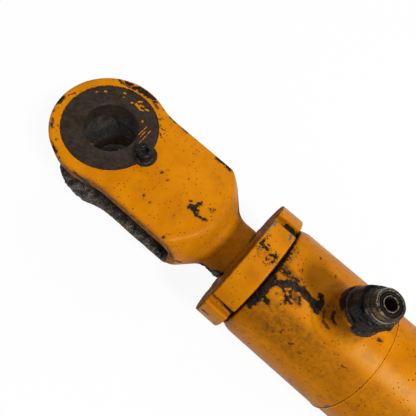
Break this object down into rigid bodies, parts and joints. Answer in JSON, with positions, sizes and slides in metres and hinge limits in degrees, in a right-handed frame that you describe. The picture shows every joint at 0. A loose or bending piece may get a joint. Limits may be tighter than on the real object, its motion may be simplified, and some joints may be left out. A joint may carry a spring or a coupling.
{
  "type": "hydraulic steering cylinder",
  "caption": "Double-acting hydraulic steering cylinder with a forged rod fork, a slotted gland, side ports and a base eye with a spherical bearing.",
  "frame": {"origin": "centre of the base eye's bearing, on the base pin's axis", "axes": "+X along the cylinder from the base eye towards the rod fork, +Z along both pins, out of the side that carries the ports"},
  "size_m": [0.8898, 0.1188, 0.1693],
  "materials": {
    "yellow_paint": "worn gloss paint on forged steel",
    "dark_steel": "oily dark steel",
    "bearing_steel": "ground",
    "rod_chrome": "polished",
    "seal_rubber": "matt",
    "guide_ring_plastic": "matt"
  },
  "bodies": {
    "barrel": {"base_eye": "yellow_paint", "barrel_tube": "yellow_paint", "barrel_head": "yellow_paint", "gland": "yellow_paint", "gland_static_seal": "seal_rubber", "gland_backup_ring": "guide_ring_plastic", "rod_wiper": "seal_rubber", "rod_guide_front": "guide_ring_plastic", "rod_guide_rear": "guide_ring_plastic", "rod_seal": "seal_rubber", "rod_buffer_seal": "seal_rubber", "front_adapter": "dark_steel", "front_stud_seal": "seal_rubber", "front_face_seal": "seal_rubber", "rear_adapter": "dark_steel", "rear_stud_seal": "seal_rubber", "rear_face_seal": "seal_rubber", "bearing_race": "bearing_steel", "upper_spring_ring": "dark_steel", "lower_spring_ring": "dark_steel", "grease_nipple": "dark_steel"},
    "piston_rings": {"piston_seal": "seal_rubber", "piston_guide_front": "guide_ring_plastic", "piston_guide_rear": "guide_ring_plastic"},
    "rod": {"piston_rod": "rod_chrome", "piston": "dark_steel", "piston_nut": "dark_steel", "piston_static_seal": "seal_rubber", "rod_fork": "yellow_paint", "fork_lock_screw": "dark_steel", "fork_lock_washer": "dark_steel"},
    "ball": {"bearing_ball": "bearing_steel"}
  },
  "joints": [
    {"name": "rod_slide", "type": "slide", "parent": "barrel", "child": "piston_rings", "axis": [1, 0, 0], "range_m": [0, 0.37]},
    {"name": "rod_turn", "type": "hinge", "parent": "piston_rings", "child": "rod", "pos_m": [0, 0, 0], "axis": [1, 0, 0], "continuous": true},
    {"name": "ball_swivel", "type": "hinge", "parent": "barrel", "child": "ball", "pos_m": [0, 0, 0], "axis": [0, 0, 1], "continuous": true}
  ]
}
